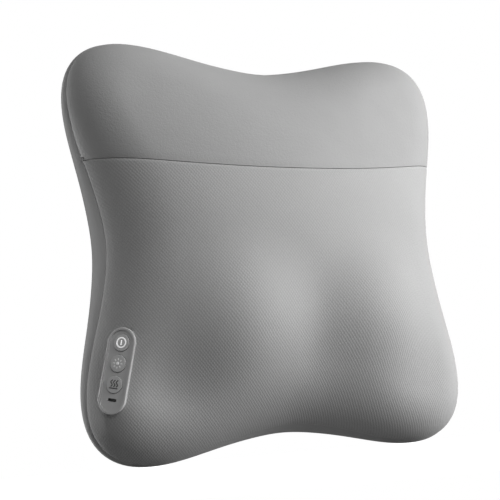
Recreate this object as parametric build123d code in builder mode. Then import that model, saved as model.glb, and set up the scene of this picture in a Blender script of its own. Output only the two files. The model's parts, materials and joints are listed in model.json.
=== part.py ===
from build123d import *
from math import acos, atan2, cos, degrees, hypot, pi, radians, sin, sqrt, tan
import os

# Shiatsu massage cushion: a four-lobed padded cushion with a geared massage unit inside.
# It stands upright with its front facing -Y. All lengths are in millimetres and all angles in
# degrees. Depths are measured forward from the front seam of the side band, so a larger depth lies
# nearer the user, and heights are measured up from the lowest point of the cushion.

os.makedirs("parts", exist_ok=True)

# ---------------------------------------------------------------- cushion outline
corner_reach = 236.0        # centre to the tip of a corner lobe
waist_reach = 157.3         # centre to the hollow between two lobes
lobe_fullness = 6.6         # widens the lobes and narrows the hollows
lobe_shoulder = 1.1         # squares the lobes a little
outline_points = 40         # spline points round one contour

# ---------------------------------------------------------------- cushion depth
front_edge_rise = 22.0      # depth gained over the rolled front edge
front_edge_radius = 36.0    # width of the rolled front edge
front_edge_power = 1.7      # 2 is a round roll, less is a flatter one
dome_rise = 51.0            # further rise from the edge to the middle
band_width = 12.6           # side band, front seam to back seam
band_flare = 3.8            # the back seam stands this far outside the front seam
back_edge_rise = 30.4       # depth of the rolled back edge
back_edge_radius = 42.0
bump_rise = 12.0            # the fabric stands this far out over each massage head
bump_radius = 89.0          # sphere radius of the bump
bump_reach = 64.0           # radius of the plug that carries the bump
bump_lean = 0.9             # a tilted bump peaks this much further out, beside the head axis
bump_root = 14.0            # the bump's plug goes this far under its edge
cover_thickness = 1.8
cover_gap = 0.25            # between a cover and the foam, and along each seam

# ---------------------------------------------------------------- upper cover seam
seam_height = 74.0          # upper seam above the cushion's centre at its two ends
seam_sag = 20.0             # its middle hangs this much lower

# ---------------------------------------------------------------- massage heads
head_spacing = 120.0        # between the two head axes
head_drop = 60.0            # head axes below the cushion's centre
node_radius = 15.0          # spherical tip of a massage node
node_orbit = 25.0           # node centre to head axis
node_base_radius = 14.5
node_screw_length = 13.0
node_tip_depth = 54.0
carrier_depth = 28.0        # back face of a head carrier
carrier_thickness = 6.0
carrier_arm_width = 32.0
carrier_hub_radius = 13.0
head_cavity_radius = 46.0
pad_cover = 5.5             # fabric and foam over the head cavity
heater_thickness = 1.2
heater_margin = 1.0         # between a heater pad and its cavity's wall

# ---------------------------------------------------------------- gears
gear_module = 1.5
wheel_teeth = 70
gear_depth = 3.0            # middle plane of the wheels, and the worm axis
wheel_face = 10.0
wheel_hub_radius = 13.0
hub_nose_radius = 6.5       # stays on the inner ring of each bearing
wheel_web = 4.0
wheel_rim = 6.0
pressure_angle = 20.0
backlash = 0.3              # taken off each flank of the worm thread
root_clearance = 0.4        # worm tip to wheel root, and wheel tip to worm root
worm_turns = 6
worm_collar = 3.0           # plain core beyond each end of the thread

# ---------------------------------------------------------------- shafts and bearings
shaft_radius = 4.0
bearing_radius = 11.0
bearing_width = 7.0
running_clearance = 0.05    # radial, shaft in a bore
boss_wall = 3.0
rear_boss_floor = 3.0       # boss material behind the rear bearing
front_boss_lip = 1.5        # boss material in front of the front bearing
front_boss_rise = 1.5       # the front boss stands this far out of the front shell
hub_screw_radius = 2.0
hub_screw_length = 12.0
hub_washer_radius = 6.5
hub_washer_thickness = 2.0

# ---------------------------------------------------------------- motor
motor_radius = 18.0
motor_length = 57.0
motor_can_wall = 1.5
motor_cap_thickness = 6.0
motor_shaft_radius = 1.6
motor_standoff = 44.0       # head axis up to the motor's mounting face
motor_nose_radius = 6.5
motor_nose_length = 4.0
bracket_width = 40.0
bracket_thickness = 3.0
motor_screw_offset = 12.5
saddle_width = 30.0
saddle_thickness = 4.0
saddle_depth = -8.0         # front edge of the motor saddles
magnet_thickness = 4.0
magnet_length = 32.0
magnet_arc = 130.0
magnet_gap = 0.6            # magnets to armature
thread_sink = 0.4           # the thread's foot lies this deep in the worm's core
armature_length = 30.0
armature_slots = 5
armature_slot_width = 2.0
armature_slot_depth = 5.0
commutator_radius = 5.0
commutator_length = 8.0
brush_width = 4.0
brush_gap = 0.2             # brush to commutator
brush_length = 6.0
bush_radius = 5.0
bush_length = 6.0
bush_block_width = 16.0
bush_clearance = 1.0        # worm to its lower bush

# ---------------------------------------------------------------- massage unit housing
shell_width = 242.0
shell_bottom = 61.0
shell_top = 245.0
shell_corner = 34.0
shell_wall = 2.5
shell_front_depth = 25.0    # front face of the front shell
shell_back_depth = -19.5    # back face of the rear shell
lid_thickness = 3.0
fit_gap = 0.3               # between housing pieces and what they hold
screw_radius = 1.5
screw_head_radius = 2.8
screw_head_height = 2.0
shell_screw_length = 16.0
board_screw_length = 6.0
board_screw_radius = 0.95
board_screw_head_radius = 2.0
board_pilot_radius = 1.0
board_hole_radius = 1.3
post_radius = 4.0

# ---------------------------------------------------------------- battery and circuit board
cell_radius = 9.2
cell_length = 65.0
cell_pitch = 20.0
bay_offset = 70.0           # battery and board centres to each side of the middle
upper_bay_drop = 34.0       # shell top down to the battery and board centres
tray_wall = 1.6
board_width = 70.0
board_height = 46.0
board_thickness = 1.6
board_depth = -11.0         # back face of the main board
board_screw_inset = 4.0
chip_size = 10.0
small_chip_size = 6.0
chip_height = 1.6
capacitor_radius = 3.0
capacitor_height = 8.0

# ---------------------------------------------------------------- control pod
pod_width = 25.0
pod_length = 70.0
pod_side = -162.0           # pod centre: across, in depth and above the cushion's centre
pod_depth = 24.3
pod_rise = -104.5
pod_facing = (-0.735, -0.672, 0.09)
pod_long_axis = (0.197, -0.126, 0.972)
rim_proud = 1.6             # the rim stands this far out of the fabric
rim_width = 2.0
plate_recess = 1.2          # plate below the rim's edge
plate_thickness = 2.0
button_radius = 7.0
button_proud = 1.0          # button face above the plate
button_travel = 0.7
button_flange = 0.9         # thickness of the flange that holds a button in
button_flange_reach = 1.0
button_stem_radius = 2.0
button_spacing = 16.9
first_button = 12.4         # pod's top end to the first button
socket_offset = 12.4        # last button to the charging socket
flange_depth = 9.0          # front of the rim's flange below the fabric
flange_thickness = 1.5
flange_reach = 4.0
pod_board_depth = 9.5       # front of the button board below the fabric
pod_board_clearance = 0.4
switch_size = 6.0
switch_height = 3.2
switch_plunger = 0.8
tub_depth = 17.0            # back of the tub below the fabric
tub_wall = 1.5
pod_screw_radius = 1.0
pod_screw_head_radius = 1.9
pod_screw_head_height = 1.2
socket_width = 8.94
socket_height = 3.26
socket_opening_width = 8.34
socket_opening_height = 2.56
socket_floor = 1.0
socket_tongue_width = 6.7
socket_tongue_thickness = 0.7
socket_tongue_setback = 1.0

# ---------------------------------------------------------------- wiring
harness_radius = 1.6
lead_radius = 0.9
wire_bend = 6.0
floor_lift = 0.2            # wires lie this far off the rear shell's floor
wire_gap = 0.1              # wire end to its connector
lead_bend = 3.0
harness_bend = 3.5
lead_spacing = 2.4          # between the two motor leads at their connector
terminal_spacing = 5.0      # between them at the motor
terminal_side = -8.0
lead_rise = 6.0             # straight run above the motor's end cap
lead_run = 7.0              # straight run out of the connector
lead_plug_rise = 12.0       # above the middle of the main board
harness_bend_drop = 16.0    # the harness starts towards its plug this far below it
battery_plug_drop = 10.0
connector_length = 6.0
connector_width = 8.0
connector_height = 5.0

# ---------------------------------------------------------------- derived places
mean_reach = (corner_reach + waist_reach) / 2 - lobe_fullness
reach_swing = (corner_reach - waist_reach) / 2 - lobe_shoulder


def outline_reach(angle):
    """Centre to the front seam in a direction given in degrees from +X towards +Z."""
    t = radians(angle)
    waves = -reach_swing * cos(4 * t) + lobe_fullness * cos(8 * t) - lobe_shoulder * cos(12 * t)
    return mean_reach + waves


def outline_slant(angle):
    """Ratio of the reach lost to the true distance moved in from the outline."""
    t = radians(angle)
    slope = 4 * reach_swing * sin(4 * t) - 8 * lobe_fullness * sin(8 * t) + 12 * lobe_shoulder * sin(12 * t)
    return hypot(1, slope / outline_reach(angle))


centre_height = max((outline_reach(a) + band_flare * outline_slant(a)) * sin(radians(a)) for a in range(30, 75))
front_depth = front_edge_rise + dome_rise
back_depth = band_width + back_edge_rise
head_x = head_spacing / 2
head_height = centre_height - head_drop


def surface_depth(angle, reach, inset):
    """Depth of the front surface, shrunk by inset, at a reach from the centre."""
    slant = outline_slant(angle)
    edge = outline_reach(angle) - inset * slant
    roll = front_edge_radius - inset
    inward = min(max((edge - reach) / slant, 0), roll)
    lift = (1 - (1 - inward / roll) ** front_edge_power) ** (1 / front_edge_power)
    share = min((reach / edge) ** 2, 1)
    fall = share ** 2 + (1 - share) * (reach / mean_reach) ** 2
    return (front_edge_rise - inset) * lift + dome_rise * (1 - fall)


def contour_reach(angle, depth, inset):
    """Reach at which the front surface, shrunk by inset, has the given depth."""
    low = 0.0
    high = outline_reach(angle) - inset * outline_slant(angle)
    for _ in range(40):
        middle = (low + high) / 2
        if surface_depth(angle, middle, inset) > depth:
            low = middle
        else:
            high = middle
    return low


head_angle = degrees(atan2(-head_drop, head_x))
head_surface = surface_depth(head_angle, hypot(head_x, head_drop), 0)
front_reach = head_surface + bump_rise + bump_lean
seam_y = (front_reach - back_depth) / 2


def front_plane(depth, x=0.0, height=centre_height):
    """Plane that faces forward at a depth; its x is across and its y is up."""
    return Plane(origin=(x, seam_y - depth, height), x_dir=(1, 0, 0), z_dir=(0, -1, 0))


def finish(builder, label):
    """Name a finished piece and write it as its own file."""
    builder.part.label = label
    export_step(builder.part, f"parts/{label}.step")


# ---------------------------------------------------------------- cushion forms
angles = [360 * i / outline_points for i in range(outline_points)]
front_levels = [0.0, 0.05, 0.13, 0.24, 0.38, 0.54, 0.7, 0.84, 0.94, 0.985]


def contour(reaches):
    """Closed smooth line through one reach for each angle, in the open line builder."""
    points = [(r * cos(radians(a)), r * sin(radians(a))) for a, r in zip(angles, reaches)]
    return Spline(*points, periodic=True)


def surface_at(x, rise):
    """Depth of the front surface at a place across and above the cushion's centre."""
    return surface_depth(degrees(atan2(rise, x)), hypot(x, rise), 0)


def front_bump(side, inset):
    """Rounded plug that lifts the front over one massage head, tilted with the surface."""
    step = 1.0
    fall_x = (surface_at(side * head_x + step, -head_drop) - surface_at(side * head_x - step, -head_drop)) / 2
    fall_z = (surface_at(side * head_x, -head_drop + step) - surface_at(side * head_x, -head_drop - step)) / 2
    normal = Vector(-fall_x, -1, -fall_z).normalized()
    top = Vector(side * head_x, seam_y - head_surface, head_height) + normal * (bump_rise - inset)
    radius = bump_radius - inset
    reach = bump_reach - inset
    edge_fall = radius - sqrt(radius ** 2 - reach ** 2)
    across = Plane(origin=top, z_dir=normal).x_dir
    profile = Plane(origin=top, x_dir=across, z_dir=across.cross(normal))
    with BuildPart() as bump:
        with BuildSketch(profile):
            with BuildLine():
                arc = RadiusArc((0, 0), (reach, -edge_fall), radius)
                Polyline(arc @ 1, (reach, -edge_fall - bump_root), (0, -edge_fall - bump_root), (0, 0))
            make_face()
        revolve(axis=Axis(top, normal))
    return bump.part


def front_form(inset, foot=0.0):
    """The cushion in front of the front seam, shrunk all round by inset, from a foot depth forward."""
    top_depth = front_depth - inset
    with BuildPart() as form:
        for level in front_levels:
            with BuildSketch(front_plane(level * top_depth if level else foot)):
                with BuildLine():
                    contour([contour_reach(a, level * top_depth, inset) for a in angles])
                make_face()
        loft(ruled=True)
        add(front_bump(-1, inset))
        add(front_bump(1, inset))
    return form.part


def band_form(inset, front=0.0, back=-band_width):
    """The slab inside the side band, between two depths."""
    with BuildPart() as form:
        for depth in (front, back):
            flare = band_flare * -depth / band_width - inset
            with BuildSketch(front_plane(depth)):
                with BuildLine():
                    contour([outline_reach(a) + flare * outline_slant(a) for a in angles])
                make_face()
        loft()
    return form.part


def back_form(inset):
    """The cushion behind the back seam, with its flat resting face."""
    rise = back_edge_rise - inset
    roll = back_edge_radius - inset
    with BuildPart() as form:
        for turn in (0, 12, 26, 42, 60, 78, 90):
            moved_in = roll * (1 - cos(radians(turn))) + inset - band_flare
            with BuildSketch(front_plane(-band_width - rise * sin(radians(turn)))):
                with BuildLine():
                    contour([outline_reach(a) - moved_in * outline_slant(a) for a in angles])
                make_face()
        loft()
    return form.part


def above_seam(shift):
    """Block above the upper seam's arc, moved up by shift."""
    ends = seam_height + shift
    with BuildPart() as block:
        with BuildSketch(front_plane(-band_width)):
            with BuildLine():
                arc = ThreePointArc((-seam_span, ends), (0, ends - seam_sag), (seam_span, ends))
                Polyline(
                    arc @ 1,
                    (corner_reach, ends),
                    (corner_reach, corner_reach),
                    (-corner_reach, corner_reach),
                    (-corner_reach, ends),
                    arc @ 0,
                )
            make_face()
        extrude(amount=2 * front_reach)
    return block.part


# ---------------------------------------------------------------- control pod frame
pod_normal = Vector(*pod_facing).normalized()
pod_across = Vector(*pod_long_axis).cross(pod_normal).normalized()
pod_centre = Vector(pod_side, seam_y - pod_depth, centre_height + pod_rise)
button_rises = [pod_length / 2 - first_button - button_spacing * i for i in range(3)]
socket_rise = button_rises[-1] - socket_offset


def pod_plane(out, rise=0.0):
    """Plane parallel to the pod's face, out from the fabric; its y runs up the pod."""
    flat = Plane(origin=pod_centre, x_dir=pod_across, z_dir=pod_normal)
    return Plane(origin=flat.from_local_coords((0, rise, out)), x_dir=pod_across, z_dir=pod_normal)


def pod_slot(margin, back, front):
    """Pill-shaped block in the pod's frame, wider all round than the pod by margin."""
    with BuildPart() as block:
        with BuildSketch(pod_plane(back)):
            SlotOverall(pod_length + 2 * margin, pod_width + 2 * margin, rotation=90)
        extrude(amount=front - back)
    return block.part


# ---------------------------------------------------------------- covers
seam_angle = min(range(45), key=lambda a: abs(outline_reach(a) * sin(radians(a)) - seam_height))
seam_span = outline_reach(seam_angle) * cos(radians(seam_angle))

with BuildPart() as upper_cover:
    add(front_form(0))
    add(front_form(cover_thickness, -cover_thickness), mode=Mode.SUBTRACT)
    add(above_seam(cover_gap / 2), mode=Mode.INTERSECT)
finish(upper_cover, "upper_cover")

with BuildPart() as mesh_cover:
    add(front_form(0))
    add(front_form(cover_thickness, -cover_thickness), mode=Mode.SUBTRACT)
    add(above_seam(-cover_gap / 2), mode=Mode.SUBTRACT)
    add(pod_slot(fit_gap, -tub_depth, rim_proud + plate_thickness), mode=Mode.SUBTRACT)
finish(mesh_cover, "mesh_cover")

with BuildPart() as side_band:
    add(band_form(0, -cover_gap, cover_gap - band_width))
    add(band_form(cover_thickness, 0, -band_width), mode=Mode.SUBTRACT)
finish(side_band, "side_band")

with BuildPart() as back_cover:
    add(back_form(0))
    add(back_form(cover_thickness), mode=Mode.SUBTRACT)
finish(back_cover, "back_cover")

# ---------------------------------------------------------------- foam
shell_height = shell_top - shell_bottom
shell_middle = (shell_top + shell_bottom) / 2
upper_bay_height = shell_top - upper_bay_drop
shell_floor_depth = shell_back_depth + shell_wall
lid_back_depth = shell_front_depth - lid_thickness
foam_inset = cover_thickness + cover_gap


def head_cavity(side, radius, inset):
    """Room in front of the unit for one massage head, closed by the front at an inset."""
    with BuildPart() as room:
        with BuildSketch(front_plane(shell_front_depth, side * head_x, head_height)):
            Circle(radius)
        extrude(amount=front_reach)
        add(front_form(inset), mode=Mode.INTERSECT)
    return room.part


# The harness leaves the pod's tub, crosses the foam and enters the unit through its left wall.
pod_board_back = -pod_board_depth - board_thickness
flange_back = flange_depth + 2 * flange_thickness
pod_back = flange_back + pod_screw_head_height
harness_rise = 20.0         # up the pod from its centre to the harness
harness_run = 12.0          # straight run behind the button board
harness_side = 8.0 - shell_width / 2    # where the harness climbs inside the unit
harness_exit = pod_plane(pod_board_back - floor_lift, harness_rise).origin
harness_turn = pod_plane(pod_board_back - harness_run, harness_rise).origin
floor_wire_y = seam_y - (shell_floor_depth + harness_radius + floor_lift)


def tube(points, radius, bend):
    """Round wire along straight runs joined by arcs."""
    with BuildPart() as wire:
        with BuildLine() as path:
            FilletPolyline(*points, radius=bend)
        with BuildSketch(Plane(origin=path.line @ 0, z_dir=path.line % 0)):
            Circle(radius)
        sweep(path=path.line)
    return wire.part


channel_points = [harness_exit, harness_turn, Vector(-shell_width / 2, harness_turn.Y, harness_turn.Z)]

with BuildPart() as foam_body:
    add(front_form(foam_inset))
    add(band_form(foam_inset))
    add(back_form(foam_inset))
    with BuildSketch(front_plane(shell_back_depth - fit_gap, 0, shell_middle)):
        RectangleRounded(shell_width + 2 * fit_gap, shell_height + 2 * fit_gap, shell_corner + fit_gap)
    extrude(amount=shell_front_depth - shell_back_depth + 2 * fit_gap, mode=Mode.SUBTRACT)
    add(head_cavity(-1, head_cavity_radius, pad_cover), mode=Mode.SUBTRACT)
    add(head_cavity(1, head_cavity_radius, pad_cover), mode=Mode.SUBTRACT)
    add(pod_slot(fit_gap, -tub_depth - fit_gap, rim_proud), mode=Mode.SUBTRACT)
    add(pod_slot(flange_reach + fit_gap, -pod_back - fit_gap, fit_gap - flange_depth), mode=Mode.SUBTRACT)
    add(tube(channel_points, harness_radius + fit_gap, wire_bend), mode=Mode.SUBTRACT)
finish(foam_body, "foam_body")


def heater_sheet(side):
    """Thin heater pad under the foam skin over one massage head."""
    with BuildPart() as sheet:
        add(head_cavity(side, head_cavity_radius - heater_margin, pad_cover + cover_gap))
        add(head_cavity(side, head_cavity_radius, pad_cover + cover_gap + heater_thickness), mode=Mode.SUBTRACT)
    return sheet.part


with BuildPart() as heater_pads:
    add(heater_sheet(-1))
    add(heater_sheet(1))
finish(heater_pads, "heater_pads")

# ---------------------------------------------------------------- massage unit housing
bearing_bore = bearing_radius + running_clearance
rear_boss_depth = shell_floor_depth + rear_boss_floor + bearing_width
front_boss_depth = shell_front_depth + front_boss_rise
front_bearing_back = front_boss_depth - front_boss_lip - bearing_width
head_places = [(-head_x, 0), (head_x, 0)]
motor_face = head_height + motor_standoff
gear_y = seam_y - gear_depth
side_post_x = shell_width / 2 - 13
post_places = [
    (-side_post_x, shell_bottom + 14),
    (side_post_x, shell_bottom + 14),
    (0, shell_bottom + 11),
    (2 - side_post_x, shell_middle + 28),
    (side_post_x - 2, shell_middle + 28),
    (-27, shell_top - 8),
    (27, shell_top - 8),
]
board_places = GridLocations(
    board_width - 2 * board_screw_inset, board_height - 2 * board_screw_inset, 2, 2
).locations
worm_pitch = pi * gear_module
wheel_pitch_radius = gear_module * wheel_teeth / 2
worm_pitch_radius = head_x - wheel_pitch_radius
worm_tip_radius = worm_pitch_radius + gear_module
worm_root_radius = worm_pitch_radius - gear_module - root_clearance
thread_length = worm_turns * worm_pitch
lead_slope = worm_pitch / (2 * pi * worm_pitch_radius)
worm_end = thread_length / 2 + worm_collar
bush_top = head_height - worm_end - bush_clearance


def unit_plane(depth):
    """Forward-facing plane at a depth whose heights are heights in the part's frame."""
    return front_plane(depth, 0, 0)


with BuildPart() as rear_shell:
    with BuildSketch(front_plane(shell_back_depth, 0, shell_middle)):
        RectangleRounded(shell_width, shell_height, shell_corner)
    extrude(amount=lid_back_depth - shell_back_depth)
    with BuildSketch(front_plane(shell_floor_depth, 0, shell_middle)):
        RectangleRounded(shell_width - 2 * shell_wall, shell_height - 2 * shell_wall, shell_corner - shell_wall)
    extrude(amount=lid_back_depth - shell_floor_depth, mode=Mode.SUBTRACT)
    with BuildSketch(front_plane(shell_floor_depth, 0, head_height)):
        with Locations(*head_places):
            Circle(bearing_radius + boss_wall)
    extrude(amount=rear_boss_depth - shell_floor_depth)
    with BuildSketch(front_plane(rear_boss_depth - bearing_width, 0, head_height)):
        with Locations(*head_places):
            Circle(bearing_bore)
    extrude(amount=bearing_width, mode=Mode.SUBTRACT)
    with BuildSketch(unit_plane(shell_floor_depth)):
        with Locations(*post_places):
            Circle(post_radius)
        with Locations((-bay_offset, upper_bay_height)):
            with Locations(*board_places):
                Circle(post_radius - 1)
    extrude(amount=board_depth - shell_floor_depth)
    with BuildSketch(unit_plane(board_depth)):
        with Locations(*post_places):
            Circle(post_radius)
    extrude(amount=lid_back_depth - board_depth)
    with BuildSketch(unit_plane(shell_floor_depth + shell_wall)):
        with Locations(*post_places):
            Circle(screw_radius)
    extrude(amount=lid_back_depth - shell_floor_depth - shell_wall, mode=Mode.SUBTRACT)
    with BuildSketch(unit_plane(shell_floor_depth)):
        with Locations((-bay_offset, upper_bay_height)):
            with Locations(*board_places):
                Circle(board_pilot_radius)
    extrude(amount=board_depth - shell_floor_depth, mode=Mode.SUBTRACT)
    # block that carries the worm's lower bush
    with BuildSketch(Plane.XY.offset(bush_top - bush_length)):
        with Locations((0, gear_y)):
            Circle(bush_block_width / 2)
        with Locations((0, (gear_y + seam_y - shell_floor_depth) / 2)):
            Rectangle(bush_block_width, seam_y - shell_floor_depth - gear_y)
    extrude(amount=bush_length)
    with BuildSketch(Plane.XY.offset(bush_top - bush_length)):
        with Locations((0, gear_y)):
            Circle(bush_radius)
    extrude(amount=bush_length, mode=Mode.SUBTRACT)
    # saddles under the motor
    for height in (motor_face + motor_length / 4, motor_face + motor_length * 3 / 4):
        with BuildSketch(Plane.XY.offset(height - saddle_thickness / 2)):
            with Locations((0, seam_y - (shell_floor_depth + saddle_depth) / 2)):
                Rectangle(saddle_width, saddle_depth - shell_floor_depth)
            with Locations((0, gear_y)):
                Circle(motor_radius + fit_gap, mode=Mode.SUBTRACT)
        extrude(amount=saddle_thickness)
    # hole for the harness in the left wall
    with BuildSketch(Plane(origin=(-shell_width / 2, harness_turn.Y, harness_turn.Z), z_dir=(1, 0, 0))):
        Circle(harness_radius + fit_gap)
    extrude(amount=shell_wall, mode=Mode.SUBTRACT)
finish(rear_shell, "rear_shell")

with BuildPart() as front_shell:
    with BuildSketch(front_plane(lid_back_depth, 0, shell_middle)):
        RectangleRounded(shell_width, shell_height, shell_corner)
    extrude(amount=lid_thickness)
    with BuildSketch(front_plane(front_bearing_back, 0, head_height)):
        with Locations(*head_places):
            Circle(bearing_radius + boss_wall)
    extrude(amount=front_boss_depth - front_bearing_back)
    with BuildSketch(front_plane(front_bearing_back, 0, head_height)):
        with Locations(*head_places):
            Circle(bearing_bore)
    extrude(amount=bearing_width, mode=Mode.SUBTRACT)
    with BuildSketch(front_plane(front_bearing_back, 0, head_height)):
        with Locations(*head_places):
            Circle(shaft_radius + boss_wall)
    extrude(amount=front_boss_depth - front_bearing_back, mode=Mode.SUBTRACT)
    with BuildSketch(unit_plane(lid_back_depth)):
        with Locations(*post_places):
            Circle(screw_radius + fit_gap)
    extrude(amount=lid_thickness, mode=Mode.SUBTRACT)
    with BuildSketch(unit_plane(shell_front_depth - screw_head_height)):
        with Locations(*post_places):
            Circle(screw_head_radius + fit_gap)
    extrude(amount=screw_head_height, mode=Mode.SUBTRACT)
finish(front_shell, "front_shell")


def screw(plane, places, radius, length, head_radius, head_height):
    """Round-headed screws whose heads sit on a plane; their shanks point away from its normal."""
    with BuildPart() as screws:
        with BuildSketch(plane):
            with Locations(*places):
                Circle(head_radius)
        extrude(amount=head_height)
        with BuildSketch(plane):
            with Locations(*places):
                Circle(radius)
        extrude(amount=-length)
    return screws.part


with BuildPart() as shell_screws:
    add(screw(
        unit_plane(shell_front_depth - screw_head_height), post_places,
        screw_radius, shell_screw_length, screw_head_radius, screw_head_height,
    ))
finish(shell_screws, "shell_screws")

# ---------------------------------------------------------------- bearings and shafts
for name, back in (("rear_bearings", rear_boss_depth - bearing_width), ("front_bearings", front_bearing_back)):
    with BuildPart() as bearings:
        with BuildSketch(front_plane(back, 0, head_height)):
            with Locations(*head_places):
                Circle(bearing_radius)
                Circle(shaft_radius + running_clearance, mode=Mode.SUBTRACT)
        extrude(amount=bearing_width)
    finish(bearings, name)

shaft_back = rear_boss_depth - bearing_width + fit_gap
carrier_front = carrier_depth + carrier_thickness
wheel_back = gear_depth - wheel_face / 2
tooth_angle = 360 / wheel_teeth
face_twist = degrees(wheel_face * lead_slope / wheel_pitch_radius)


def wheel_outline(turn):
    """Toothed outline; with no turn, the middle of a gap lies on the +X side."""
    tip = wheel_pitch_radius + gear_module
    root = wheel_pitch_radius - gear_module - root_clearance
    slope = tan(radians(pressure_angle))
    points = []
    for tooth in range(wheel_teeth):
        middle = turn + tooth_angle * (tooth + 0.5)
        for side, reach in ((-1, root), (-1, tip), (1, tip), (1, root)):
            half = worm_pitch / 4 - (reach - wheel_pitch_radius) * slope
            angle = radians(middle) + side * half / reach
            points.append((reach * cos(angle), reach * sin(angle)))
    return points


def wheel(side, phase):
    """Worm wheel with slanted teeth, web and hub, turned by phase so that it meshes."""
    with BuildPart() as gear:
        for depth, turn in ((wheel_back, -face_twist / 2), (wheel_back + wheel_face, face_twist / 2)):
            with BuildSketch(front_plane(depth, side * head_x, head_height)):
                with BuildLine():
                    Polyline(*wheel_outline(phase + turn), close=True)
                make_face()
        loft(ruled=True)
        for face, direction in ((wheel_back, 1), (wheel_back + wheel_face, -1)):
            with BuildSketch(front_plane(face, side * head_x, head_height)):
                Circle(wheel_pitch_radius - wheel_rim)
                Circle(wheel_hub_radius, mode=Mode.SUBTRACT)
            extrude(amount=direction * (wheel_face - wheel_web) / 2, mode=Mode.SUBTRACT)
        with BuildSketch(front_plane(rear_boss_depth + fit_gap, side * head_x, head_height)):
            Circle(hub_nose_radius)
        extrude(amount=front_bearing_back - rear_boss_depth - 2 * fit_gap)
        with BuildSketch(front_plane(rear_boss_depth, side * head_x, head_height)):
            Circle(shaft_radius + running_clearance)
        extrude(amount=front_bearing_back - rear_boss_depth, mode=Mode.SUBTRACT)
    return gear.part


def head_shaft(side):
    """Steel output shaft with a screw hole in its front end."""
    with BuildPart() as shaft:
        with BuildSketch(front_plane(shaft_back, side * head_x, head_height)):
            Circle(shaft_radius)
        extrude(amount=carrier_front - shaft_back)
        with BuildSketch(front_plane(carrier_front, side * head_x, head_height)):
            Circle(hub_screw_radius + running_clearance)
        extrude(amount=-hub_screw_length - fit_gap, mode=Mode.SUBTRACT)
    return shaft.part


node_places = [(0, node_orbit), (0, -node_orbit)]
node_centre_depth = node_tip_depth - node_radius
node_seat = carrier_front + running_clearance


def carrier(side):
    """Arm that carries two massage nodes, with a hub round the shaft."""
    with BuildPart() as arm:
        with BuildSketch(front_plane(carrier_depth, side * head_x, head_height)):
            SlotCenterToCenter(2 * node_orbit, carrier_arm_width, rotation=90)
        extrude(amount=carrier_thickness)
        with BuildSketch(front_plane(front_boss_depth + fit_gap, side * head_x, head_height)):
            Circle(carrier_hub_radius)
        extrude(amount=carrier_depth - front_boss_depth - fit_gap)
        with BuildSketch(front_plane(front_boss_depth, side * head_x, head_height)):
            Circle(shaft_radius + running_clearance)
            with Locations(*node_places):
                Circle(screw_radius + fit_gap)
        extrude(amount=carrier_front - front_boss_depth, mode=Mode.SUBTRACT)
        with BuildSketch(front_plane(carrier_depth, side * head_x, head_height)):
            with Locations(*node_places):
                Circle(screw_head_radius + fit_gap)
        extrude(amount=screw_head_height, mode=Mode.SUBTRACT)
    return arm.part


def massage_nodes(side):
    """Two round massage nodes, each with a screw hole in its base."""
    neck = -degrees(acos(node_base_radius / node_radius))
    with BuildPart() as nodes:
        for _, rise in node_places:
            origin = (side * head_x, seam_y, head_height + rise)
            with BuildSketch(Plane(origin=origin, x_dir=(1, 0, 0), z_dir=(0, 0, -1))):
                with BuildLine():
                    tip = CenterArc((0, node_centre_depth), node_radius, neck, 90 - neck)
                    Polyline(tip @ 1, (0, node_seat), (node_base_radius, node_seat), tip @ 0)
                make_face()
            revolve(axis=Axis(origin, (0, -1, 0)))
        with BuildSketch(front_plane(node_seat, side * head_x, head_height)):
            with Locations(*node_places):
                Circle(screw_radius + running_clearance)
        extrude(amount=node_screw_length, mode=Mode.SUBTRACT)
    return nodes.part


def node_screws(side):
    """Screws that hold the massage nodes, put in from behind the carrier."""
    seat = Plane(
        origin=(side * head_x, seam_y - carrier_depth - screw_head_height, head_height),
        x_dir=(1, 0, 0),
        z_dir=(0, 1, 0),
    )
    return screw(seat, node_places, screw_radius, node_screw_length, screw_head_radius, screw_head_height)


def hub_screw(side):
    """Broad-headed screw that clamps the carrier to its shaft."""
    return screw(
        front_plane(carrier_front + running_clearance, side * head_x, head_height),
        [(0, 0)],
        hub_screw_radius,
        hub_screw_length,
        hub_washer_radius,
        hub_washer_thickness,
    )


for side, word in ((-1, "left"), (1, "right")):
    pieces = {
        "wheel": wheel(side, tooth_angle / 2 if side < 0 else 0),
        "shaft": head_shaft(side),
        "carrier": carrier(side),
        "massage_nodes": massage_nodes(side),
        "node_screws": node_screws(side),
        "hub_screw": hub_screw(side),
    }
    for name, piece in pieces.items():
        with BuildPart() as holder:
            add(piece)
        finish(holder, f"{word}_{name}")

# ---------------------------------------------------------------- worm and motor
can_bore = motor_radius - motor_can_wall
cap_height = motor_face + motor_length - motor_cap_thickness
commutator_height = cap_height - commutator_length - fit_gap
armature_height = commutator_height - armature_length
magnet_inner_radius = can_bore - running_clearance - magnet_thickness
armature_radius = magnet_inner_radius - magnet_gap
shaft_bore = motor_shaft_radius + running_clearance
brush_place = commutator_radius + brush_gap + brush_length / 2


def upright_plane(height):
    """Level plane centred on the motor's axis."""
    return Plane(origin=(0, gear_y, height))


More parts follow.
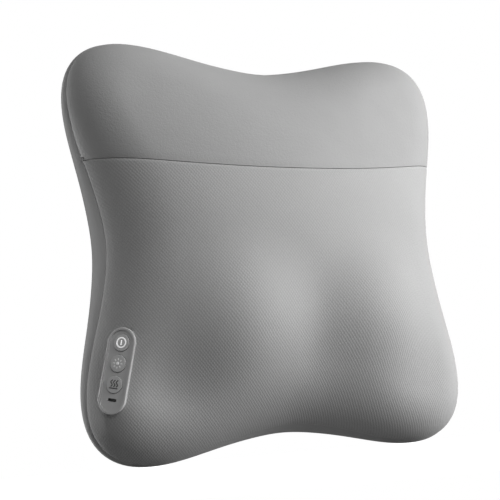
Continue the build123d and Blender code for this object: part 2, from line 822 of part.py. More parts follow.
with BuildPart() as worm:
    with BuildSketch(upright_plane(head_height - worm_end)):
        Circle(worm_root_radius)
    extrude(amount=2 * worm_end)
    with BuildLine() as thread_path:
        Helix(worm_pitch, thread_length, worm_pitch_radius, center=(0, gear_y, head_height - thread_length / 2))
    with BuildSketch(Plane(
        origin=(worm_pitch_radius, gear_y, head_height - thread_length / 2), x_dir=(1, 0, 0), z_dir=(0, -1, 0),
    )):
        slope = tan(radians(pressure_angle))
        half_pitch_line = worm_pitch / 4 - backlash
        inner = worm_root_radius - worm_pitch_radius - thread_sink
        foot_half = half_pitch_line - inner * slope
        corners = [(inner, foot_half), (gear_module, half_pitch_line - gear_module * slope)]
        Polygon(*corners, *[(x, -y) for x, y in reversed(corners)], align=None)
    sweep(path=thread_path.line, is_frenet=True)
    with BuildSketch(upright_plane(head_height - worm_end)):
        Circle(shaft_bore)
    extrude(amount=2 * worm_end, mode=Mode.SUBTRACT)
finish(worm, "worm")

with BuildPart() as worm_bush:
    with BuildSketch(upright_plane(bush_top - bush_length)):
        Circle(bush_radius - running_clearance)
        Circle(shaft_bore, mode=Mode.SUBTRACT)
    extrude(amount=bush_length)
finish(worm_bush, "worm_bush")

with BuildPart() as motor_shaft:
    with BuildSketch(upright_plane(bush_top - bush_length)):
        Circle(motor_shaft_radius)
    extrude(amount=motor_face + motor_length - bush_top + bush_length)
finish(motor_shaft, "motor_shaft")

with BuildPart() as motor_can:
    with BuildSketch(upright_plane(motor_face)):
        Circle(motor_radius)
    extrude(amount=motor_length - motor_cap_thickness)
    with BuildSketch(upright_plane(motor_face + motor_can_wall)):
        Circle(can_bore)
    extrude(amount=motor_length, mode=Mode.SUBTRACT)
    with BuildSketch(upright_plane(motor_face - motor_nose_length)):
        Circle(motor_nose_radius)
    extrude(amount=motor_nose_length + motor_can_wall)
    with BuildSketch(upright_plane(motor_face - motor_nose_length)):
        Circle(shaft_bore)
        with Locations((-motor_screw_offset, 0), (motor_screw_offset, 0)):
            Circle(screw_radius + running_clearance)
    extrude(amount=motor_nose_length + motor_can_wall, mode=Mode.SUBTRACT)
finish(motor_can, "motor_can")

with BuildPart() as motor_end_cap:
    with BuildSketch(upright_plane(cap_height)):
        Circle(motor_radius)
        Circle(shaft_bore, mode=Mode.SUBTRACT)
    extrude(amount=motor_cap_thickness)
finish(motor_end_cap, "motor_end_cap")

with BuildPart() as motor_magnets:
    with BuildSketch(upright_plane(armature_height + (armature_length - magnet_length) / 2)):
        for middle in (0, 180):
            with BuildLine():
                outer = CenterArc((0, 0), can_bore - running_clearance, middle - magnet_arc / 2, magnet_arc)
                inner = CenterArc((0, 0), magnet_inner_radius, middle - magnet_arc / 2, magnet_arc)
                Line(outer @ 0, inner @ 0)
                Line(outer @ 1, inner @ 1)
            make_face()
    extrude(amount=magnet_length)
finish(motor_magnets, "motor_magnets")

with BuildPart() as motor_armature:
    with BuildSketch(upright_plane(armature_height)):
        Circle(armature_radius)
        with PolarLocations(armature_radius, armature_slots):
            Rectangle(2 * armature_slot_depth, armature_slot_width, mode=Mode.SUBTRACT)
        Circle(shaft_bore, mode=Mode.SUBTRACT)
    extrude(amount=armature_length)
finish(motor_armature, "motor_armature")

with BuildPart() as motor_commutator:
    with BuildSketch(upright_plane(commutator_height)):
        Circle(commutator_radius)
        Circle(shaft_bore, mode=Mode.SUBTRACT)
    extrude(amount=commutator_length)
finish(motor_commutator, "motor_commutator")

with BuildPart() as motor_brushes:
    with BuildSketch(upright_plane(cap_height - commutator_length)):
        with Locations((-brush_place, 0), (brush_place, 0)):
            Rectangle(brush_length, brush_width)
    extrude(amount=commutator_length)
finish(motor_brushes, "motor_brushes")

with BuildPart() as motor_bracket:
    with BuildSketch(Plane.XY.offset(motor_face - bracket_thickness)):
        with Locations((0, seam_y - (shell_floor_depth + lid_back_depth - fit_gap) / 2)):
            Rectangle(bracket_width, lid_back_depth - fit_gap - shell_floor_depth)
        with Locations((0, gear_y)):
            Circle(motor_nose_radius + fit_gap, mode=Mode.SUBTRACT)
        with Locations((-motor_screw_offset, gear_y), (motor_screw_offset, gear_y)):
            Circle(screw_radius + fit_gap, mode=Mode.SUBTRACT)
    extrude(amount=bracket_thickness)
finish(motor_bracket, "motor_bracket")

with BuildPart() as motor_screws:
    add(screw(
        Plane(origin=(0, gear_y, motor_face - bracket_thickness), x_dir=(1, 0, 0), z_dir=(0, 0, -1)),
        [(-motor_screw_offset, 0), (motor_screw_offset, 0)],
        screw_radius, bracket_thickness + motor_can_wall, screw_head_radius, screw_head_height,
    ))
finish(motor_screws, "motor_screws")

# ---------------------------------------------------------------- battery and circuit board
cell_depth = shell_floor_depth + tray_wall + running_clearance + cell_radius
tray_width = cell_length + 2 * (fit_gap + tray_wall)
tray_height = cell_pitch + 2 * (cell_radius + fit_gap + tray_wall)

with BuildPart() as battery_tray:
    with BuildSketch(unit_plane(shell_floor_depth)):
        with Locations((bay_offset, upper_bay_height)):
            Rectangle(tray_width, tray_height)
    extrude(amount=cell_depth - shell_floor_depth)
    with BuildSketch(unit_plane(shell_floor_depth + tray_wall)):
        with Locations((bay_offset, upper_bay_height)):
            Rectangle(tray_width - 2 * tray_wall, tray_height - 2 * tray_wall)
    extrude(amount=cell_radius + tray_wall, mode=Mode.SUBTRACT)
finish(battery_tray, "battery_tray")

with BuildPart() as battery_cells:
    with BuildSketch(Plane.YZ.offset(bay_offset - cell_length / 2)):
        with Locations(*[(seam_y - cell_depth, upper_bay_height + step * cell_pitch / 2) for step in (-1, 1)]):
            Circle(cell_radius)
    extrude(amount=cell_length)
finish(battery_cells, "battery_cells")

with BuildPart() as main_board:
    with BuildSketch(unit_plane(board_depth)):
        with Locations((-bay_offset, upper_bay_height)):
            Rectangle(board_width, board_height)
            with Locations(*board_places):
                Circle(board_hole_radius, mode=Mode.SUBTRACT)
    extrude(amount=board_thickness)
finish(main_board, "main_board")

board_front = board_depth + board_thickness
board_left = -bay_offset - board_width / 2
board_right = -bay_offset + board_width / 2
lead_plug_height = upper_bay_height + lead_plug_rise

with BuildPart() as board_screws:
    add(screw(
        front_plane(board_front, -bay_offset, upper_bay_height),
        [(place.position.X, place.position.Y) for place in board_places],
        board_screw_radius, board_screw_length, board_screw_head_radius, screw_head_height,
    ))
finish(board_screws, "board_screws")

with BuildPart() as board_connectors:
    with BuildSketch(unit_plane(board_front)):
        with Locations((board_left + connector_length / 2, upper_bay_height)):
            Rectangle(connector_length, connector_width)
        with Locations(
            (board_right - connector_length / 2, lead_plug_height),
            (board_right - connector_length / 2, upper_bay_height - battery_plug_drop),
        ):
            Rectangle(connector_length, connector_width)
    extrude(amount=connector_height)
finish(board_connectors, "board_connectors")

with BuildPart() as board_chips:
    with BuildSketch(unit_plane(board_front)):
        with Locations((board_left + 27, upper_bay_height + 6)):
            Rectangle(chip_size, chip_size)
        with Locations((board_left + 47, upper_bay_height - 8)):
            Rectangle(small_chip_size, small_chip_size)
    extrude(amount=chip_height)
    with BuildSketch(unit_plane(board_front)):
        with Locations((board_left + 17, upper_bay_height - 12), (board_left + 26, upper_bay_height - 12)):
            Circle(capacitor_radius)
    extrude(amount=capacitor_height)
finish(board_chips, "board_chips")

# ---------------------------------------------------------------- control pod
opening = -rim_width
plate_face = rim_proud - plate_recess
plate_back = plate_face - plate_thickness
button_face = plate_face + button_proud
button_flange_front = plate_back - fit_gap
switch_front = -pod_board_depth + switch_height
tub_post_places = [(side * pod_width / 4, end * pod_length * 3 / 8) for side in (-1, 1) for end in (-1, 1)]
rim_screw_places = [(0, end * (pod_length + flange_reach) / 2) for end in (-1, 1)]

with BuildPart() as pod_rim:
    add(pod_slot(0, -flange_depth, rim_proud))
    fillet(pod_rim.faces().sort_by(Axis(pod_centre, pod_normal))[-1].edges(), rim_width * 0.4)
    add(pod_slot(flange_reach, -flange_depth - flange_thickness, -flange_depth))
    add(pod_slot(opening, -flange_depth - flange_thickness, rim_proud), mode=Mode.SUBTRACT)
    with BuildSketch(pod_plane(-flange_depth - flange_thickness)):
        with Locations(*rim_screw_places):
            Circle(pod_screw_radius + running_clearance)
    extrude(amount=flange_thickness, mode=Mode.SUBTRACT)
finish(pod_rim, "pod_rim")

with BuildPart() as pod_plate:
    add(pod_slot(opening - running_clearance, plate_back, plate_face))
    for rise in button_rises:
        with BuildSketch(pod_plane(plate_back, rise)):
            Circle(button_radius + fit_gap)
        extrude(amount=plate_thickness, mode=Mode.SUBTRACT)
    with BuildSketch(pod_plane(plate_back, socket_rise)):
        SlotOverall(socket_opening_width, socket_opening_height)
    extrude(amount=plate_thickness, mode=Mode.SUBTRACT)
finish(pod_plate, "pod_plate")

for label, rise in zip(("power_button", "mode_button", "heat_button"), button_rises):
    with BuildPart() as button:
        with BuildSketch(pod_plane(button_flange_front, rise)):
            Circle(button_radius)
        extrude(amount=button_face - button_flange_front)
        fillet(button.faces().sort_by(Axis(pod_centre, pod_normal))[-1].edges(), button_proud * 0.6)
        with BuildSketch(pod_plane(button_flange_front - button_flange, rise)):
            Circle(button_radius + button_flange_reach)
        extrude(amount=button_flange)
        with BuildSketch(pod_plane(switch_front + button_travel + running_clearance, rise)):
            Circle(button_stem_radius)
        extrude(amount=button_flange_front - button_flange - switch_front - button_travel - running_clearance)
    finish(button, label)

with BuildPart() as button_board:
    add(pod_slot(opening - pod_board_clearance, pod_board_back, -pod_board_depth))
finish(button_board, "button_board")

with BuildPart() as tact_switches:
    for rise in button_rises:
        with BuildSketch(pod_plane(-pod_board_depth, rise)):
            Rectangle(switch_size, switch_size)
        extrude(amount=switch_height - switch_plunger)
        with BuildSketch(pod_plane(-pod_board_depth, rise)):
            Circle(button_stem_radius)
        extrude(amount=switch_height)
finish(tact_switches, "tact_switches")

with BuildPart() as charging_socket:
    with BuildSketch(pod_plane(-pod_board_depth, socket_rise)):
        SlotOverall(socket_width, socket_height)
    extrude(amount=plate_back - fit_gap + pod_board_depth)
    with BuildSketch(pod_plane(-pod_board_depth + socket_floor, socket_rise)):
        SlotOverall(socket_opening_width, socket_opening_height)
    extrude(amount=pod_board_depth, mode=Mode.SUBTRACT)
    with BuildSketch(pod_plane(-pod_board_depth + socket_floor, socket_rise)):
        Rectangle(socket_tongue_width, socket_tongue_thickness)
    extrude(amount=plate_back - fit_gap + pod_board_depth - socket_floor - socket_tongue_setback)
finish(charging_socket, "charging_socket")

with BuildPart() as pod_tub:
    add(pod_slot(flange_reach, -flange_back, -flange_depth - flange_thickness))
    add(pod_slot(0, -tub_depth, -flange_back))
    add(pod_slot(-tub_wall, tub_wall - tub_depth, -flange_depth - flange_thickness), mode=Mode.SUBTRACT)
    for across, rise in tub_post_places:
        with BuildSketch(pod_plane(tub_wall - tub_depth, rise)):
            with Locations((across, 0)):
                Circle(button_stem_radius)
        extrude(amount=pod_board_back + tub_depth - tub_wall)
    with BuildSketch(pod_plane(-tub_depth, harness_rise)):
        Circle(harness_radius + fit_gap)
    extrude(amount=tub_wall, mode=Mode.SUBTRACT)
    with BuildSketch(pod_plane(-flange_back)):
        with Locations(*rim_screw_places):
            Circle(pod_screw_radius + running_clearance)
    extrude(amount=flange_thickness, mode=Mode.SUBTRACT)
finish(pod_tub, "pod_tub")

with BuildPart() as pod_screws:
    add(screw(
        Plane(origin=pod_plane(-flange_back).origin, x_dir=pod_across, z_dir=-pod_normal),
        rim_screw_places,
        pod_screw_radius, 2 * flange_thickness, pod_screw_head_radius, pod_screw_head_height,
    ))
finish(pod_screws, "pod_screws")

# ---------------------------------------------------------------- wiring
plug_y = seam_y - board_front - connector_height / 2
climb_bottom = Vector(harness_side, floor_wire_y, harness_turn.Z)
with BuildPart() as control_harness:
    add(tube(
        [
            harness_exit,
            harness_turn,
            Vector(harness_side, harness_turn.Y, harness_turn.Z),
            climb_bottom,
            Vector(harness_side, floor_wire_y, upper_bay_height - harness_bend_drop),
            Vector(harness_side, plug_y, upper_bay_height),
            Vector(board_left - wire_gap, plug_y, upper_bay_height),
        ],
        harness_radius,
        harness_bend,
    ))
finish(control_harness, "control_harness")

cap_top = motor_face + motor_length
with BuildPart() as motor_leads:
    for step in (-1, 1):
        add(tube(
            [
                Vector(terminal_side, gear_y + terminal_spacing / 2 * step, cap_top + wire_gap),
                Vector(terminal_side, gear_y + terminal_spacing / 2 * step, cap_top + lead_rise),
                Vector(board_right + lead_run, plug_y + lead_spacing / 2 * step, lead_plug_height),
                Vector(board_right + wire_gap, plug_y + lead_spacing / 2 * step, lead_plug_height),
            ],
            lead_radius,
            lead_bend,
        ))
finish(motor_leads, "motor_leads")
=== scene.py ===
# %% [markdown]
# A massage cushion with four soft lobes stands on a pale floor. Its hard pieces come from the packed
# model, and this script gives them finishes, sews the four covers over the foam and lights the
# scene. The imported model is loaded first, so that every later piece can take its place from it.
# All lengths are in metres.

import json
import math

import bpy
from mathutils import Matrix, Vector
from mathutils.bvhtree import BVHTree


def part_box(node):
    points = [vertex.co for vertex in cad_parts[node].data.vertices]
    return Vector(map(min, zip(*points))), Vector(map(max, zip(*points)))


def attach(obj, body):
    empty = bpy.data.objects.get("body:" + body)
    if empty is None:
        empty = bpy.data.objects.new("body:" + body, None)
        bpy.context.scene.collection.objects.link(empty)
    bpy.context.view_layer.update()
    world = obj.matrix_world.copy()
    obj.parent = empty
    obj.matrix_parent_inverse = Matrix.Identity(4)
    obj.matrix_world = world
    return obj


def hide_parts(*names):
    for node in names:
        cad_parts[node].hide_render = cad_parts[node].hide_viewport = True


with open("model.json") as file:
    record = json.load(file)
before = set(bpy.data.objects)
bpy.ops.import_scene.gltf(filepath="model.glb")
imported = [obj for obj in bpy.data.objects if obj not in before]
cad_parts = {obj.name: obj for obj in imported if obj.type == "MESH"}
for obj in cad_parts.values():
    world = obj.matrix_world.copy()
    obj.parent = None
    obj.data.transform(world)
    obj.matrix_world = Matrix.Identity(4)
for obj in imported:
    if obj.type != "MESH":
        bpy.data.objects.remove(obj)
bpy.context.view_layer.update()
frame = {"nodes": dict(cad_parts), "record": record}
for thing in list(bpy.context.selected_objects):
    thing.select_set(False)

# %% [markdown]
# The camera comes first, because it decides what is seen. The cushion is turned about 27 degrees and
# seen from a little below its middle, with a long lens that keeps its lobes nearly the same size.
# The camera could be aimed with a constraint, but three plain directions say exactly how it stands.

# %% The camera
band_low, band_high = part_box("side_band")
seam_setback = 0.00025
centre = Vector((0, band_low.y - seam_setback, (band_low.z + band_high.z) / 2))
turn, tilt, lean = 0.467, 0.192, -0.0056
distance, aim_drop, eye_rise = 1.082, 0.003, 0.003
ahead = Vector((math.sin(turn), math.cos(turn) * math.cos(tilt), math.cos(turn) * math.sin(tilt)))
right = Vector((
    math.cos(turn),
    -math.sin(turn) * math.cos(tilt),
    -math.sin(turn) * math.sin(tilt),
))
target = centre + Vector((0, 0, -aim_drop))
eye = target - distance * ahead
eye.z = eye_rise
ahead = (target - eye).normalized()
right = (right - right.dot(ahead) * ahead).normalized()
upward = right.cross(ahead)
leaned_right = right * math.cos(lean) + upward * math.sin(lean)
leaned_up = upward * math.cos(lean) - right * math.sin(lean)
camera_data = bpy.data.cameras.new("camera")
camera_data.lens = 87.55
camera_data.sensor_width = 36
camera_data.shift_x = -0.0468
camera = bpy.data.objects.new("camera", camera_data)
camera.matrix_world = Matrix((
    (leaned_right.x, leaned_up.x, -ahead.x, eye.x),
    (leaned_right.y, leaned_up.y, -ahead.y, eye.y),
    (leaned_right.z, leaned_up.z, -ahead.z, eye.z),
    (0, 0, 0, 1),
))
bpy.context.scene.collection.objects.link(camera)
bpy.context.scene.camera = camera
bpy.context.scene.view_settings.view_transform = "Standard"
print("camera at", [round(v, 3) for v in eye])

# %% [markdown]
# The cushion's outline is a rounded square whose sides are drawn in. A few waves round a circle make
# it: four for the lobes, and weaker ones that fill the lobes and square them. The same waves shape
# the covers and the band, so that all seams meet.

# %% The outline
corner_reach, waist_reach = 0.236, 0.1573
lobe_fullness, lobe_shoulder = 0.0066, 0.0011
mean_reach = (corner_reach + waist_reach) / 2 - lobe_fullness
swing = (corner_reach - waist_reach) / 2 - lobe_shoulder


def outline_reach(t):
    """Distance from the centre to the front seam, in the direction t."""
    waves = -swing * math.cos(4 * t)
    waves += lobe_fullness * math.cos(8 * t)
    waves -= lobe_shoulder * math.cos(12 * t)
    return mean_reach + waves


def outline_slant(t):
    """Reach lost for each step straight in from the outline."""
    slope = 4 * swing * math.sin(4 * t)
    slope -= 8 * lobe_fullness * math.sin(8 * t)
    slope += 12 * lobe_shoulder * math.sin(12 * t)
    return math.hypot(1, slope / outline_reach(t))


def outline_place(t):
    """The place on the outline in the direction t, across and above the centre."""
    return Vector((outline_reach(t) * math.cos(t), outline_reach(t) * math.sin(t)))


print("half width:", round(max(outline_place(math.radians(a)).x for a in range(90)), 4))

# %% [markdown]
# The front is a dome with a rolled edge, and two soft swellings show where the massage heads press
# against the mesh. One rule gives the form: how far the front stands forward at each place. A
# sculpted mesh could look the same, but a rule is easier to keep in step with the solids under it.

# %% The front's form
roll_width, roll_ease, roll_power = 0.047, 2.35, 1.7    # the rolled edge and its curve
roll_rise, roll_wave = 0.022, 0.0024    # its height, and how much more it has at the lobes
seam_wave = 0.0046                      # how far the front seam sways
dome_rise = 0.053                       # from the rolled edge to the middle
head_side, head_drop = 0.0695, 0.0725   # where the massage heads lie
bump_reach, bump_rise = 0.090, 0.0158


def front_depth(x, z):
    """How far the front stands forward of the seam, at a place across and above the centre."""
    t = math.atan2(z, x)
    reach = math.hypot(x, z)
    edge = outline_reach(t)
    share = min((reach / edge) ** 2, 1)
    inward = min(max((edge - reach) / outline_slant(t), 0), roll_width)
    lift = (1 - (1 - inward / roll_width) ** roll_ease) ** (1 / roll_power)
    wave = math.cos(4 * t) * share
    fall = share ** 2 + (1 - share) * (reach / mean_reach) ** 2
    depth = seam_wave * wave * (1 - lift) + (roll_rise + roll_wave * wave) * lift
    depth += dome_rise * (1 - fall)
    for side in (-1, 1):
        off = math.hypot(x - side * head_side, z + head_drop) / bump_reach
        if off < 1:
            depth += bump_rise * (1 - off * off) ** 3
    return depth


over_head = front_depth(head_side, -head_drop)
print("depth at the middle:", round(front_depth(0, 0), 4), "over a head:", round(over_head, 4))

# %% [markdown]
# The upper panel meets the mesh panel at a seam that hangs a little in the middle, as part of a wide
# circle. A curve object could draw it, but both panels need its height at any place across, so a
# function gives it.

# %% The upper seam
seam_end_rise, seam_sag = 0.074, 0.020
seam_angle = min((math.radians(a / 10) for a in range(100, 400)),
                 key=lambda t: abs(outline_reach(t) * math.sin(t) - seam_end_rise))
seam_reach = outline_reach(seam_angle) * math.cos(seam_angle)
seam_radius = (seam_reach ** 2 + seam_sag ** 2) / (2 * seam_sag)


def seam_rise(x):
    """Height of the upper seam above the centre."""
    return seam_end_rise - seam_sag + seam_radius - math.sqrt(seam_radius ** 2 - x * x)


print("seam ends at", round(seam_reach, 4))

# %% [markdown]
# The control pod is flat and the cover is curved, so the cloth beside the pod is drawn up or down to
# its rim, fully at the rim and less and less away from it. The pod has its own frame: across it, up
# along it and out of it.

# %% The pod's own frame
pod_out = Vector((-0.735, -0.672, 0.09)).normalized()
pod_across = Vector((0.197, -0.126, 0.972)).cross(pod_out).normalized()
pod_up = pod_out.cross(pod_across)
pod_centre = centre + Vector((-0.162, -0.0243, -0.1045))
pod_half_length, pod_half_width = 0.035, 0.0125
pod_straight = pod_half_length - pod_half_width
hug_reach, hug_height = 0.027, 0.06     # the pull fades over this reach, near the pod's face
hug_limit = 2.5 * hug_reach
hug_room = 0.009                        # it dies out this close to the seam
rim_cover, under_pod = 0.0026, 0.004    # the cloth ends this far inside the rim, and below it
rim_drop, rim_follow = 0.0005, 0.94     # how low and how fully the cloth meets the rim
search_depth, search_halvings = 0.02, 16


def pod_offset(point):
    """Distance from the pod's outline, below zero inside it, and the height over its face."""
    local = point - pod_centre
    along = local.dot(pod_up)
    beyond = max(abs(along) - pod_straight, 0)
    return math.hypot(local.dot(pod_across), beyond) - pod_half_width, local.dot(pod_out)


def hug_pod(point):
    """Draws the cloth up or down to the pod's rim, and under the pod inside it."""
    off, height = pod_offset(point)
    if off > hug_limit or abs(height) > hug_height:
        return point
    if off < -rim_cover:
        return point + pod_out * (-under_pod - height)
    local = point - pod_centre
    middle = max(-pod_straight, min(pod_straight, local.dot(pod_up)))
    arm = Vector((local.dot(pod_across), local.dot(pod_up) - middle)).normalized() * pod_half_width
    rim = pod_centre + pod_across * arm.x + pod_up * (middle + arm.y) - centre
    low, high = -search_depth, search_depth
    for halving in range(search_halvings):
        level = (low + high) / 2
        spot = rim + pod_out * level
        if -spot.y < front_depth(spot.x, spot.z):
            low = level
        else:
            high = level
    flat = point - centre
    t = math.atan2(flat.z, flat.x)
    room = (outline_reach(t) - math.hypot(flat.x, flat.z)) / outline_slant(t)
    ease = math.exp(-(max(off, 0) / hug_reach) ** 2) * min(max(room / hug_room, 0), 1)
    return point + pod_out * (-rim_drop - rim_follow * low) * ease


print("pod faces:", [round(v, 3) for v in pod_out], "pod length:", 2 * pod_half_length)

# %% [markdown]
# Each cover is one panel of cloth. A grid is added, its points are moved to their places on the
# form, its doubled points are merged, and Solidify gives the cloth a thickness inwards. The last rows
# turn the cloth in past a seam, as a seam allowance does, and that makes the fine dark line between
# two panels. The faces between the seams are kept as a sheet, which the foam is fitted to later. A
# cloth simulation could drape the panels, but they are stretched tight and show no fold.

# %% A helper that sews a panel
heart = centre + Vector((0, 0.006, 0))
cloth_thickness, merge_gap = 0.0012, 0.00002
crease_angle = math.radians(40)
tuck_rows, tuck_step, tuck_share = 2, 0.003, 0.02    # rows past a seam, and how they turn in
row_crowding = 1.5
sheets = []


def row_share(row, rows):
    """How far a row lies between the tucked rows at both seams, from zero to one."""
    return min(max((row - tuck_rows) / (rows - 2 * tuck_rows), 0), 1)


def crowd(share):
    """Brings rows closer together towards the outline, where the cloth rolls over."""
    return 1 - (1 - share) ** row_crowding


def sew_panel(name, across, rows, place):
    """Makes one panel from a grid; place(u, row) gives a point and the cloth's own coordinates."""
    bpy.ops.object.select_all(action="DESELECT")
    bpy.ops.mesh.primitive_grid_add(x_subdivisions=across, y_subdivisions=rows, size=2)
    panel = bpy.context.object
    panel.name = panel.data.name = name
    cloth = []
    free = []
    for vertex in panel.data.vertices:
        u = (vertex.co.x + 1) / 2
        row = round((vertex.co.y + 1) / 2 * rows)
        point, weave = place(u, row)
        vertex.co = point
        cloth.append(weave)
        free.append(tuck_rows <= row <= rows - tuck_rows)
    sheets.append(BVHTree.FromPolygons(
        [vertex.co.copy() for vertex in panel.data.vertices],
        [tuple(face.vertices) for face in panel.data.polygons
         if all(free[i] for i in face.vertices)],
    ))
    layer = panel.data.uv_layers[0]
    for loop in panel.data.loops:
        layer.data[loop.index].uv = cloth[loop.vertex_index]
    bpy.ops.object.mode_set(mode="EDIT")
    bpy.ops.mesh.select_all(action="SELECT")
    bpy.ops.mesh.remove_doubles(threshold=merge_gap)
    bpy.ops.object.mode_set(mode="OBJECT")
    outward = sum(face.normal.dot(face.center - heart) * face.area for face in panel.data.polygons)
    if outward < 0:
        bpy.ops.object.mode_set(mode="EDIT")
        bpy.ops.mesh.flip_normals()
        bpy.ops.object.mode_set(mode="OBJECT")
    wall = panel.modifiers.new("cloth thickness", "SOLIDIFY")
    wall.thickness = cloth_thickness
    wall.offset = -1
    bpy.ops.object.modifier_apply(modifier=wall.name)
    bpy.ops.object.shade_smooth_by_angle(angle=crease_angle)
    print(name, "faces:", len(panel.data.polygons))
    return panel


# %% [markdown]
# The upper panel is the smooth cloth at the top of the front. It could be cut from one large front
# with a bisect, but the cut would run across the faces and leave a ragged seam. So its grid fills the
# space from the upper seam to the outline: each line runs from a place on the seam to a place on the
# outline, and its rows lie closer where the edge rolls over.

# %% The upper panel
upper_steps, upper_rows = 260, 46
line_gap, gap_reach = 0.00045, 0.004    # panels stay this far apart at a seam
edge_share = 0.995
dip_depth, upper_dip_reach = 0.0006, 0.0010
upper_lift, foot_spread = 0.0003, 0.25


def seam_dip(off, reach):
    """The soft hollow beside a seam."""
    return dip_depth * math.exp(-(off / reach) ** 2)


def place_upper(u, row):
    """A place on the upper panel."""
    t = seam_angle + (math.pi - 2 * seam_angle) * u
    edge = outline_place(t)
    x = seam_reach * math.cos(math.pi * u) * (1 - foot_spread * math.sin(math.pi * u) ** 2)
    foot = Vector((x, seam_rise(x)))
    share = crowd(row_share(row, upper_rows))
    flat = foot.lerp(edge, share)
    rise = flat.y - seam_rise(flat.x)
    depth = front_depth(flat.x, flat.y) + upper_lift - seam_dip(rise, upper_dip_reach)
    if row < tuck_rows:
        depth -= tuck_step * (tuck_rows - row)
    if row > upper_rows - tuck_rows:
        flat = flat * (1 - tuck_share * (row - upper_rows + tuck_rows))
        depth = seam_wave * math.cos(4 * t)
    near_seam = math.exp(-(rise / gap_reach) ** 2)
    near_edge = 1 if share > edge_share else 0
    point = centre + Vector((flat.x, -depth - line_gap * near_edge, flat.y + line_gap * near_seam))
    return hug_pod(point), (flat.x, flat.y)


upper_panel = sew_panel("upper_panel", upper_steps, upper_rows, place_upper)

# %% [markdown]
# The mesh panel closes the rest of the front. A square grid would need trimming all round, so this
# one runs out like a fan, from a place below the middle to a closed line made of the upper seam and
# the outline. The cloth's own coordinates follow the lengths along the surface, so that the knit
# keeps its size where the panel rolls over the edge.

# %% The mesh panel
mesh_rows = 60
mesh_seam_steps, mesh_edge_steps = 100, 340
mesh_steps = mesh_seam_steps + mesh_edge_steps
mesh_heart = Vector((0, -0.05))
mesh_dip_reach, roll_stretch = 0.0014, 0.35
mesh_line = []
for step in range(mesh_seam_steps):
    x = -seam_reach + 2 * seam_reach * step / mesh_seam_steps
    mesh_line.append((Vector((x, seam_rise(x))), True))
for step in range(mesh_edge_steps):
    t = seam_angle - (math.pi + 2 * seam_angle) * step / mesh_edge_steps
    mesh_line.append((outline_place(t), False))
mesh_line.append(mesh_line[0])


def place_mesh(u, row):
    """A place on the mesh panel."""
    edge, on_seam = mesh_line[round(u * mesh_steps)]
    share = crowd(min(row / (mesh_rows - tuck_rows), 1))
    flat = mesh_heart.lerp(edge, share)
    off = seam_rise(flat.x) - flat.y
    depth = front_depth(flat.x, flat.y) - seam_dip(off, mesh_dip_reach)
    if row > mesh_rows - tuck_rows:
        extra = row - mesh_rows + tuck_rows
        if on_seam:
            depth -= tuck_step * extra
        else:
            flat = flat * (1 - tuck_share * extra)
    near_edge = 1 if share > edge_share and not on_seam else 0
    point = centre + Vector((flat.x, -depth - line_gap * near_edge, flat.y))
    away = flat - mesh_heart
    length = away.length
    rolled = length + roll_stretch * max(front_depth(mesh_heart.x, mesh_heart.y) - depth, 0)
    cloth = mesh_heart + away * (rolled / length) if length > 0 else mesh_heart
    return hug_pod(point), (cloth.x, cloth.y)


mesh_panel = sew_panel("mesh_panel", mesh_steps, mesh_rows, place_mesh)

# %% [markdown]
# The side band is a plain strip sewn between the front and the back. It widens towards the back and
# follows the lobes, where its seams sway a little. An extruded outline would be equally wide all
# round, so each point of the strip is placed by a rule instead.

# %% The side band
band_steps, band_rows = 440, 12
band_width, band_sway = 0.0126, 0.0014
band_flare, flare_wave, band_swell = 0.0038, 0.0023, 0.0007


def place_band(u, row):
    """A place on the side band."""
    t = 2 * math.pi * u
    wave = math.cos(4 * t)
    share = row_share(row, band_rows)
    front = -seam_wave * wave
    back = band_width + band_sway * wave
    y = front + (back - front) * share
    flare = (band_flare + flare_wave * wave) * share + band_swell * math.sin(math.pi * share)
    tuck = tuck_step * max(tuck_rows - row, row - band_rows + tuck_rows, 0)
    reach = outline_reach(t) + (flare - tuck) * outline_slant(t)
    y += line_gap * (1 - 2 * share)
    return centre + Vector((reach * math.cos(t), y, reach * math.sin(t))), (mean_reach * t, y)


band_panel = sew_panel("band_panel", band_steps, band_rows, place_band)

# %% [markdown]
# The back is one panel that rolls over to a flat face, which leans against a chair. It swells very
# slightly in the middle. A bevel could round its edge, but rows that follow a quarter of an ellipse
# keep the roll even round all four lobes.

# %% The back panel
back_steps, back_rows, roll_rows = 360, 44, 22
back_rise, back_round, back_lean, back_swell = 0.0304, 0.0244, 0.58, 0.0012


def place_back(u, row):
    """A place on the back panel."""
    t = 2 * math.pi * u
    wave = math.cos(4 * t)
    angle = math.pi / 2 * min(max((row - tuck_rows) / roll_rows, 0), 1)
    y = back_rise * math.sin(angle)
    moved = back_round * (1 - math.cos(angle)) + back_lean * y
    moved += tuck_step * max(tuck_rows - row, 0)
    flare = band_flare + flare_wave * wave * (1 - min(y / back_rise, 1))
    reach = outline_reach(t) + (flare - moved) * outline_slant(t)
    flat_row = row - tuck_rows - roll_rows
    if flat_row > 0:
        share = flat_row / (back_rows - tuck_rows - roll_rows)
        reach *= 1 - share
        y += back_swell * math.sin(math.pi / 2 * share) ** 2
    y += band_width + band_sway * wave * max(1 - y / back_rise, 0) + line_gap
    x, z = reach * math.cos(t), reach * math.sin(t)
    return centre + Vector((x, y, z)), (x, z)


back_panel = sew_panel("back_panel", back_steps, back_rows, place_back)

# %% [markdown]
# The covers squeeze the foam under them. A copy of the foam takes the place of the solid, and its
# points that lie against a cover are moved just inside it. The foam could be left as it is, but the
# cloth dips at its seams and at the pod, and the foam would come through there.

